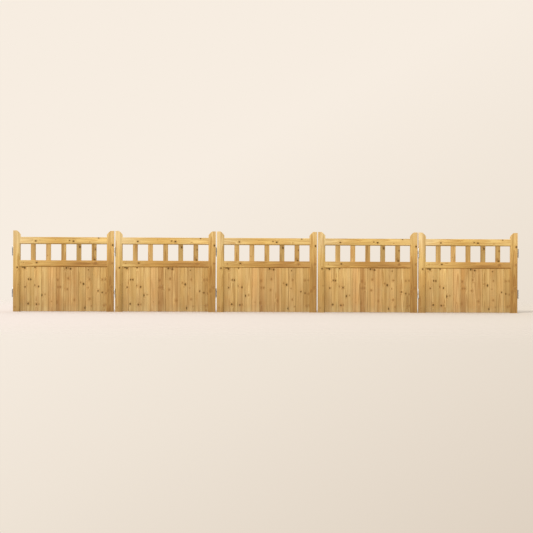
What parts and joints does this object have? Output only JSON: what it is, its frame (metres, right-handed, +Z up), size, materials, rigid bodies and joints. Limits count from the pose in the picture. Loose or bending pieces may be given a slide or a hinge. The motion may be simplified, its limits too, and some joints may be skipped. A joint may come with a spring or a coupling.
{
  "type": "bifold driveway gate",
  "caption": "Low folding driveway gate of framed softwood leaves with boarded panels, open spindle tops and shaped stile horns, hung edge to edge on lift-off hinges between posts.",
  "frame": {"origin": "under the middle of the closed gate, level with the stile feet and half way through the frame", "axes": "+X along the gate to the right as the street sees it, -Y to the street, +Z up"},
  "size_m": [5.759, 0.075, 0.915],
  "materials": {
    "pine_stiles": "planed knotty softwood, honey coloured",
    "pine_rails": "planed knotty softwood, honey coloured",
    "pine_spindles": "planed knotty softwood, honey coloured",
    "pine_boards": "planed knotty softwood boards of mixed tints",
    "hinge_steel": "hot-dip galvanised steel, dull grey",
    "bolt_steel": "zinc plated steel, satin"
  },
  "bodies": {
    "post_plates": {"left_post_hinge_lug_plates": "hinge_steel", "left_post_hinge_pins": "hinge_steel", "right_post_hinge_lug_plates": "hinge_steel", "right_post_hinge_pins": "hinge_steel"},
    "leaf1": {"leaf1_left_stile": "pine_stiles", "leaf1_right_stile": "pine_stiles", "leaf1_top_rail": "pine_rails", "leaf1_middle_rail": "pine_rails", "leaf1_bottom_rail": "pine_rails", "leaf1_brace": "pine_rails", "leaf1_spindles": "pine_spindles", "leaf1_boards": "pine_boards", "left_post_hinge_eye_plates": "hinge_steel", "leaf1_leaf2_hinge_lug_plates": "hinge_steel", "leaf1_leaf2_hinge_pins": "hinge_steel"},
    "leaf2": {"leaf2_left_stile": "pine_stiles", "leaf2_right_stile": "pine_stiles", "leaf2_top_rail": "pine_rails", "leaf2_middle_rail": "pine_rails", "leaf2_bottom_rail": "pine_rails", "leaf2_brace": "pine_rails", "leaf2_spindles": "pine_spindles", "leaf2_boards": "pine_boards", "leaf1_leaf2_hinge_eye_plates": "hinge_steel", "leaf2_leaf3_hinge_lug_plates": "hinge_steel", "leaf2_leaf3_hinge_pins": "hinge_steel"},
    "leaf3": {"leaf3_left_stile": "pine_stiles", "leaf3_right_stile": "pine_stiles", "leaf3_top_rail": "pine_rails", "leaf3_middle_rail": "pine_rails", "leaf3_bottom_rail": "pine_rails", "leaf3_brace": "pine_rails", "leaf3_spindles": "pine_spindles", "leaf3_boards": "pine_boards", "leaf2_leaf3_hinge_eye_plates": "hinge_steel", "leaf3_drop_bolt_guide": "bolt_steel"},
    "leaf4": {"leaf4_left_stile": "pine_stiles", "leaf4_right_stile": "pine_stiles", "leaf4_top_rail": "pine_rails", "leaf4_middle_rail": "pine_rails", "leaf4_bottom_rail": "pine_rails", "leaf4_brace": "pine_rails", "leaf4_spindles": "pine_spindles", "leaf4_boards": "pine_boards", "leaf4_leaf5_hinge_eye_plates": "hinge_steel", "leaf4_drop_bolt_guide": "bolt_steel"},
    "leaf5": {"leaf5_left_stile": "pine_stiles", "leaf5_right_stile": "pine_stiles", "leaf5_top_rail": "pine_rails", "leaf5_middle_rail": "pine_rails", "leaf5_bottom_rail": "pine_rails", "leaf5_brace": "pine_rails", "leaf5_spindles": "pine_spindles", "leaf5_boards": "pine_boards", "leaf4_leaf5_hinge_lug_plates": "hinge_steel", "leaf4_leaf5_hinge_pins": "hinge_steel", "right_post_hinge_eye_plates": "hinge_steel"},
    "leaf3_drop_bolt": {"leaf3_drop_bolt_rod": "bolt_steel"},
    "leaf4_drop_bolt": {"leaf4_drop_bolt_rod": "bolt_steel"}
  },
  "joints": [
    {"name": "left_post_swing", "type": "hinge", "parent": "post_plates", "child": "leaf1", "pos_m": [-2.8725, 0.0305, 0], "axis": [0, 0, 1], "range_deg": [0, 90]},
    {"name": "leaf1_leaf2_fold", "type": "hinge", "parent": "leaf1", "child": "leaf2", "pos_m": [-1.7235, -0.0305, 0], "axis": [0, 0, 1], "range_deg": [-175, 0]},
    {"name": "leaf2_leaf3_fold", "type": "hinge", "parent": "leaf2", "child": "leaf3", "pos_m": [-0.5745, 0.0305, 0], "axis": [0, 0, 1], "range_deg": [0, 175]},
    {"name": "right_post_swing", "type": "hinge", "parent": "post_plates", "child": "leaf5", "pos_m": [2.8725, 0.0305, 0], "axis": [0, 0, 1], "range_deg": [-90, 0]},
    {"name": "leaf4_leaf5_fold", "type": "hinge", "parent": "leaf5", "child": "leaf4", "pos_m": [1.7235, -0.0305, 0], "axis": [0, 0, 1], "range_deg": [0, 175]},
    {"name": "leaf3_bolt_drop", "type": "slide", "parent": "leaf3", "child": "leaf3_drop_bolt", "axis": [0, 0, 1], "range_m": [-0.06, 0]},
    {"name": "leaf4_bolt_drop", "type": "slide", "parent": "leaf4", "child": "leaf4_drop_bolt", "axis": [0, 0, 1], "range_m": [-0.06, 0]}
  ]
}
